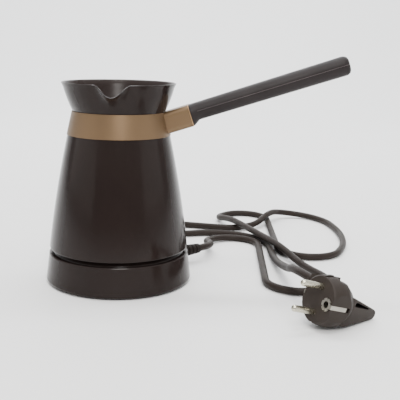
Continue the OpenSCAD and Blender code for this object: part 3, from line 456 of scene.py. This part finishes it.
def place_camera(scene, lens):
    """The camera at its place, turned by its yaw, pitch and roll."""
    camera = bpy.data.objects.new("Camera", bpy.data.cameras.new("Camera"))
    scene.collection.objects.link(camera)
    scene.camera = camera
    camera.data.sensor_width = SENSOR_WIDTH
    camera.data.lens = lens
    yaw, pitch, roll = (math.radians(a) for a in CAMERA_TURN)
    look = Vector((math.sin(yaw) * math.cos(pitch), math.cos(yaw) * math.cos(pitch), -math.sin(pitch)))
    level = Vector((math.cos(yaw), -math.sin(yaw), 0.0))
    upright = level.cross(look)
    right = level * math.cos(roll) + upright * math.sin(roll)
    up = upright * math.cos(roll) - level * math.sin(roll)
    turn = Matrix((right, up, -look)).transposed().to_4x4()
    camera.matrix_world = Matrix.Translation(CAMERA_PLACE) @ turn


def lay_backdrop(scene, colour):
    """A pale floor that bends up into a wall behind the object."""
    floor = Finish("Studio floor", colour, 0.6, Specular_IOR_Level=0.25)
    cloud = floor.noise(scale=3.0, detail=3.0)
    floor.feed("Base Color", floor.blend(cloud, shade(colour, 0.985), shade(colour, 1.015)))
    floor.feed("Roughness", 0.55 + cloud * 0.1)

    front, back, bend, top, half_width = -2.5, 1.3, 0.7, 3.0, 4.0
    profile = [(front, 0.0), (back, 0.0)]
    profile += [(back + bend * math.sin(a), bend - bend * math.cos(a))
                for a in (math.radians(d) for d in range(6, 91, 6))]
    profile.append((back + bend, top))
    bm = bmesh.new()
    rows = [[bm.verts.new((x, y, z)) for x in (-half_width, half_width)] for y, z in profile]
    for (a, b), (c, d) in zip(rows, rows[1:]):
        bm.faces.new((a, b, d, c))
    mesh = bpy.data.meshes.new("Backdrop")
    bm.to_mesh(mesh)
    bm.free()
    backdrop = bpy.data.objects.new("Backdrop", mesh)
    scene.collection.objects.link(backdrop)
    mesh.materials.append(floor.material)
    soften(backdrop, crease=60.0)


def light_tent(scene, s):
    """Even light from all round, darker towards the horizon and on the side of the camera."""
    world = bpy.data.worlds.new("Studio light")
    scene.world = world
    world.use_nodes = True
    background = next(n for n in world.node_tree.nodes if n.type == "BACKGROUND")
    background.inputs["Color"].default_value = DAYLIGHT
    tent = Nodes(world.node_tree)
    direction = tent.node("ShaderNodeSeparateXYZ", {}, {0: tent.node("ShaderNodeTexCoord", out="Generated")})

    def fade(value, start, end, at_start, at_end):
        return tent.node("ShaderNodeMapRange", {}, {"Value": value, "From Min": start, "From Max": end,
                                                    "To Min": at_start, "To Max": at_end})

    upwards = fade(direction.out("Z"), 0.05, 0.7, s.horizon * s.world, s.world)
    backwards = fade(direction.out("Y"), -0.95, -0.35, s.front, 1.0)
    tent.tree.links.new((upwards * backwards).socket, background.inputs["Strength"])


def hang_lights(scene, s):
    """The soft lights. The two at the sides are low and wide, for the soft bands on the gloss plastic."""
    lights = (  # Name, place, point aimed at, width and height, power, colour
        ("Key light", (0.17, -0.95, 0.85), (0.0, 0.0, 0.12), (0.30, 0.34), s.key * 1.3, WARM),
        ("Top light", (0.08, -0.46, 1.5), (0.05, 0.05, 0.05), (0.42, 0.4), s.key * 1.2, WARM),
        ("Wall light", (0.0, 0.6, 1.9), (0.0, 2.0, 0.5), (2.4, 0.6), s.wall, COOL),
        ("Left light", (-1.22, -0.46, 0.29), (0.0, 0.0, 0.12), (1.5, 0.35), s.key * 0.24, WARM),
        ("Right light", (1.28, -0.34, 0.29), (0.0, 0.0, 0.12), (1.1, 0.35), s.key * 0.17, WARM),
    )
    for name, place, aim, size, power, colour in lights:
        lamp = bpy.data.objects.new(name, bpy.data.lights.new(name, "AREA"))
        scene.collection.objects.link(lamp)
        lamp.data.shape, lamp.data.energy, lamp.data.color = "RECTANGLE", power, colour
        lamp.data.size, lamp.data.size_y = size
        lamp.location = place
        lamp.rotation_mode = "QUATERNION"
        lamp.rotation_quaternion = (Vector(aim) - Vector(place)).to_track_quat("-Z", "Y")


class COFFEE_OT_stage(bpy.types.Operator):
    """Make the camera, the floor with its backdrop, and the soft light"""

    bl_idname = "coffee.stage"
    bl_label = "Stage"

    def execute(self, context):
        s = context.scene.coffee_stage
        place_camera(context.scene, s.lens)
        lay_backdrop(context.scene, s.floor)
        light_tent(context.scene, s)
        hang_lights(context.scene, s)
        return {"FINISHED"}


class COFFEE_OT_cord(bpy.types.Operator):
    bl_idname = "coffee.cord"
    bl_label = "Power cord"

    # Leaves the strain relief, lies in its loops and enters the plug's boot; millimetres
    route = (
        (61.385, 51.508, 12.0), (81.302, 68.221, 12.0), (70, 110, 5), (95, 132, 3.5), (124, 118, 3.5),
        (123, -22, 3.5), (147, -39, 3.5), (173, -27, 3.5), (177, 0, 3.5), (158, 40, 3.5), (143, 75, 10.5),
        (98, 182, 11), (81, 217, 3.5), (106, 247, 3.5), (140, 231, 3.5), (142, 80, 3.5), (168, 62, 3.5),
        (194, 72, 3.5), (209, 110, 3.5), (214, 160, 3.5), (206, 212, 3.5), (186, 238, 3.5), (158, 237, 7),
        (143, 213, 12), (125, 179, 5), (101, 168, 3.5), (9, 188, 3.5), (-17, 174, 3.5), (-18, 144, 3.5),
        (8, 126, 3.5), (87, 152, 3.5), (134, 124, 3.5), (135, 50, 3.5), (141, -15, 16),
        (139.93, -56.2, 29.73), (156.14, -85.93, 26.67),
    )

    def execute(self, context):
        corners = [Vector(p) * MM for p in self.route]
        points = rounded(corners, context.scene.coffee_detail.cord_step)
        curve = bpy.data.curves.new("Power cord", "CURVE")
        curve.dimensions = "3D"
        curve.bevel_depth = CORD_D / 2
        curve.bevel_resolution = 6
        curve.use_fill_caps = True
        spline = curve.splines.new("POLY")
        spline.points.add(len(points) - 1)
        for p, q in zip(spline.points, points):
            p.co = (*q, 1.0)
        spline.use_smooth = True
        cord = bpy.data.objects.new("Power_cord_sheath", curve)
        context.scene.collection.objects.link(cord)
        tint = context.scene.coffee_finishes.cord
        finish = rubber("Cord sheath", tint, roughness=0.5, grain=1100.0)
        curve.materials.append(finish.material)
        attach(cord, "base")
        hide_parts("power_cord")
        length = sum((b - a).length for a, b in zip(points, points[1:]))
        dress("cord_tail", finish)
        relief = rubber("Strain relief rubber", shade(tint, 0.62)[:3], roughness=0.55)
        dress("strain_relief", relief, crease=40.0)
        return {"FINISHED"}


class COFFEE_OT_plug(bpy.types.Operator):
    """Finish the plug: moulded body, plated pins and earth clips"""

    bl_idname = "coffee.plug"
    bl_label = "Plug"

    def execute(self, context):
        s = context.scene.coffee_finishes
        moulding = matte_plastic("Plug moulding", s.plug, roughness=0.5, grain=1800.0, strength=0.3)
        dress("plug_body", moulding, crease=32.0)
        dress("plug_pins", metal("Plated pin", s.pins, roughness=0.26, scale=500.0, tarnish=0.25))
        clip = metal("Plated earth clip", (0.36, 0.34, 0.30), roughness=0.34, scale=500.0, tarnish=0.3)
        dress("plug_earth_clips", clip)
        return {"FINISHED"}


class COFFEE_OT_base(bpy.types.Operator):
    """Finish the power base: cover, pan, feet, clamp, screws and wires"""

    bl_idname = "coffee.base"
    bl_label = "Power base"

    def execute(self, context):
        s = context.scene.coffee_finishes
        gloss = gloss_plastic("Base gloss", s.shell, s.shell_roughness, shine=0.11)
        dress("base_cover", gloss, crease=24.0)
        dark = matte_plastic("Black underside", (0.012, 0.0115, 0.0115), roughness=0.6)
        dress("base_pan", dark)
        dress("cord_clamp", dark)
        dress("rubber_feet", rubber("Foot rubber", (0.011, 0.011, 0.011), roughness=0.75))
        steel = metal("Screw steel", (0.55, 0.55, 0.55), roughness=0.3, scale=900.0)
        for node in ("base_screws", "cord_clamp_screws", "bottom_screws", "handle_screw"):
            dress(node, steel)
        # The wires lead in from the cord side by side: live in the middle, neutral and earth outside
        heading, spacing = math.radians(40), 1.6 * MM

        def by_side(f):
            x, y = f.across()
            offset = y * math.cos(heading) - x * math.sin(heading)
            return [offset > spacing, offset < -spacing]

        wires = sheathed_wires("Base wires", by_side, [LIVE_BROWN, NEUTRAL_BLUE, EARTH_GREEN])
        dress("base_wires", wires, crease=60.0)
        return {"FINISHED"}


class COFFEE_OT_connectors(bpy.types.Operator):
    """Finish the centre connector of the base and the socket in the pot"""

    bl_idname = "coffee.connectors"
    bl_label = "Centre connectors"

    def execute(self, context):
        white = matte_plastic("Connector moulding", (0.60, 0.57, 0.50), roughness=0.45, grain=1500.0,
                              strength=0.15, clouds=0.05)
        for node in ("base_connector", "pot_connector"):
            dress(node, white)
        tint = context.scene.coffee_finishes.brass
        brass = metal("Contact brass", tint, roughness=0.28, scale=800.0, tarnish=0.3)
        for node in ("base_contacts", "pot_contacts", "switch_terminals", "handle_insert"):
            dress(node, brass)
        return {"FINISHED"}


class COFFEE_OT_pot(bpy.types.Operator):
    """Finish the pot: shell, collar and bottom cover"""

    bl_idname = "coffee.pot"
    bl_label = "Pot"

    def execute(self, context):
        s = context.scene.coffee_finishes
        dress("pot_shell", gloss_plastic("Pot gloss", s.shell, s.shell_roughness), crease=24.0)
        dress("pot_collar", collar_gloss(s.shell, s.shell_roughness), crease=34.0)
        dress("pot_bottom_cover", matte_plastic("Bottom cover", (0.014, 0.013, 0.013), roughness=0.6))
        return {"FINISHED"}


class COFFEE_OT_band(bpy.types.Operator):
    """Finish the bronze neck band and the handle's socket, and lay a painted highlight along the socket's end
    edge
    """

    bl_idname = "coffee.band"
    bl_label = "Neck band"

    def execute(self, context):
        colour = context.scene.coffee_finishes.bronze
        dress("neck_band", bronze_paint(colour), crease=24.0)

        # The socket's end: its place on the handle, drop below the handle's line, half sides, corner radius
        end, drop, half_w, half_h, corner = 61 * MM, 1.6 * MM, 10.5 * MM, 8.7 * MM, 3.5 * MM
        steps = 48
        outline = []
        for k in range(steps):
            a = math.radians((k + 0.5) * 360 / steps)
            y = math.copysign(half_w - corner, math.cos(a)) + corner * math.cos(a)
            z = math.copysign(half_h - corner, math.sin(a)) + corner * math.sin(a)
            outline.append((y, z, math.cos(a), math.sin(a)))
        proud = context.scene.coffee_detail.edge_proud
        # How far each corner of the strip lies back from the end, and out of the socket's wall
        strip = ((0.42 * MM, -proud), (0.36 * MM, proud), (0.08 * MM, proud), (0.02 * MM, -proud))

        def edge(point):
            y, z, out_y, out_z = point
            return [HANDLE @ Vector((end - back, y + out_y * out, z - drop + out_z * out))
                    for back, out in strip]

        # Painted highlight: the strip is painted far lighter than the bronze, where the socket's end edge
        # catches the light
        highlight_painted = metal("Bronze edge painted highlight", shade(colour, 3.6)[:3], roughness=0.34, scale=1500.0)
        swept("Socket_end_edge", outline, edge, highlight_painted, closed=True)
        return {"FINISHED"}


class COFFEE_OT_handle(bpy.types.Operator):
    """Finish the grip, and make the thin ridges where the halves of its mould met, painted lighter as a
    painted highlight
    """

    bl_idname = "coffee.handle"
    bl_label = "Handle grip"

    def execute(self, context):
        tint = context.scene.coffee_finishes.grip
        plastic = matte_plastic("Grip plastic", tint, roughness=0.42, strength=0.3, shine=0.13)
        dress("handle_grip", plastic, crease=30.0)

        # The ridge runs from the grip's root along its side, at this height, and round the corner of its end
        start, end, half_w, corner, height = 66.8 * MM, 192.5 * MM, 9.24 * MM, 4.5 * MM, 0.6 * MM
        steps = 24
        path = [(start + k * (end - corner - start) / steps, half_w) for k in range(steps + 1)]
        for degrees in (15, 30, 45, 60):
            a = math.radians(degrees)
            path.append((end - corner * (1 - math.sin(a)), half_w - corner * (1 - math.cos(a))))
        proud = context.scene.coffee_detail.ridge_proud
        # How far each corner of the ridge lies out of the grip's side, and above its middle
        strip = ((-proud, -0.2 * MM), (proud, -0.13 * MM), (proud, 0.13 * MM), (-proud, 0.2 * MM))
        # Painted highlight: the ridges are the grip's own plastic, painted much lighter along their length
        ridge_highlight = matte_plastic("Grip parting line highlight", shade(tint, 4.4)[:3], roughness=0.35, strength=0.2)
        for side, name in ((-1, "Front"), (1, "Rear")):
            def ridge(point, side=side):
                x, y = point
                return [HANDLE @ Vector((x, side * (y + out), height + dz)) for out, dz in strip]
            swept(name + "_parting_line", path, ridge, ridge_highlight)
        return {"FINISHED"}


class COFFEE_OT_heater(bpy.types.Operator):
    """Finish the steel vessel and the heating parts under it"""

    bl_idname = "coffee.heater"
    bl_label = "Vessel and heater"

    def execute(self, context):
        tint = context.scene.coffee_finishes.vessel
        spun = metal("Spun steel", tint, roughness=0.26, streak=(1.0, 1.0, 26.0), scale=260.0)
        dress("inner_vessel", spun, crease=24.0)
        dress("vessel_gasket", rubber("Silicone", (0.34, 0.055, 0.03), roughness=0.55))
        cast = metal("Cast plate", (0.50, 0.51, 0.52), roughness=0.5, scale=420.0, tarnish=0.4)
        dress("heating_plate", cast)
        sheath = metal("Heater sheath", (0.22, 0.21, 0.20), roughness=0.45, scale=600.0, tarnish=0.8)
        dress("heating_element", sheath, crease=50.0)
        ceramic = matte_plastic("Ceramic", (0.76, 0.72, 0.64), roughness=0.4, grain=1400.0, strength=0.15,
                                clouds=0.05)
        for node in ("element_insulators", "thermostat", "thermal_fuse"):
            dress(node, ceramic)
        # Only the neutral wire lies on the middle line behind the socket; all the others are live
        half_w, socket_edge = 1.2 * MM, 14 * MM

        def by_place(f):
            x, y = f.across()
            return [(abs(x) < half_w) * (y > socket_edge)]

        wires = sheathed_wires("Pot wires", by_place, [LIVE_BROWN, NEUTRAL_BLUE])
        dress("pot_wires", wires, crease=60.0)
        return {"FINISHED"}


class COFFEE_OT_switch(bpy.types.Operator):
    """Finish the rocker switch and its pilot lamp"""

    bl_idname = "coffee.switch"
    bl_label = "Rocker switch"

    def execute(self, context):
        black = gloss_plastic("Switch black", (0.010, 0.010, 0.010), roughness=0.3)
        dress("switch_body", black, crease=20.0)
        rocker = gloss_plastic("Rocker red", context.scene.coffee_finishes.rocker, roughness=0.2)
        rocker.shader.inputs["Transmission Weight"].default_value = 0.25
        dress("rocker_button", rocker, crease=20.0)
        lamp = Finish("Lamp glass", (0.8, 0.25, 0.12), 0.1, Transmission_Weight=0.7)
        lamp.feed("Roughness", 0.05 + lamp.noise(scale=300.0) * 0.12)
        dress("pilot_lamp", lamp, crease=40.0)
        return {"FINISHED"}


# In the order in which they run: the stage with its camera and the cord come first
OPERATORS = (
    COFFEE_OT_stage, COFFEE_OT_cord, COFFEE_OT_plug, COFFEE_OT_base, COFFEE_OT_connectors, COFFEE_OT_pot,
    COFFEE_OT_band, COFFEE_OT_handle, COFFEE_OT_heater, COFFEE_OT_switch,
)


class COFFEE_PT_panel(bpy.types.Panel):
    """Lists the settings and the pieces in the order in which they are made"""

    bl_idname = "COFFEE_PT_panel"
    bl_label = "Coffee Maker"
    bl_space_type = "VIEW_3D"
    bl_region_type = "UI"
    bl_category = "Coffee Maker"

    def draw(self, context):
        for group in GROUPS:
            settings = getattr(context.scene, group)
            box = self.layout.box()
            for name in settings.bl_rna.properties.keys():
                if name not in {"rna_type", "name"}:
                    box.prop(settings, name)
        for operator in OPERATORS:
            self.layout.operator(operator.bl_idname)


GROUPS = {"coffee_finishes": CoffeeFinishes, "coffee_stage": CoffeeStage, "coffee_detail": CoffeeDetail}
CLASSES = (*GROUPS.values(), *OPERATORS, COFFEE_PT_panel)


def register():
    """Makes the settings, the operators and the panel known to Blender."""
    for cls in CLASSES:
        bpy.utils.register_class(cls)
    for name, cls in GROUPS.items():
        setattr(bpy.types.Scene, name, PointerProperty(type=cls))


def unregister():
    """Takes them away again, in the opposite order."""
    for name in GROUPS:
        delattr(bpy.types.Scene, name)
    for cls in reversed(CLASSES):
        bpy.utils.unregister_class(cls)


def main():
    """Runs every operator in order."""
    register()
    for operator in OPERATORS:
        area, name = operator.bl_idname.split(".")
        getattr(getattr(bpy.ops, area), name)()


if __name__ == "__main__":
    main()
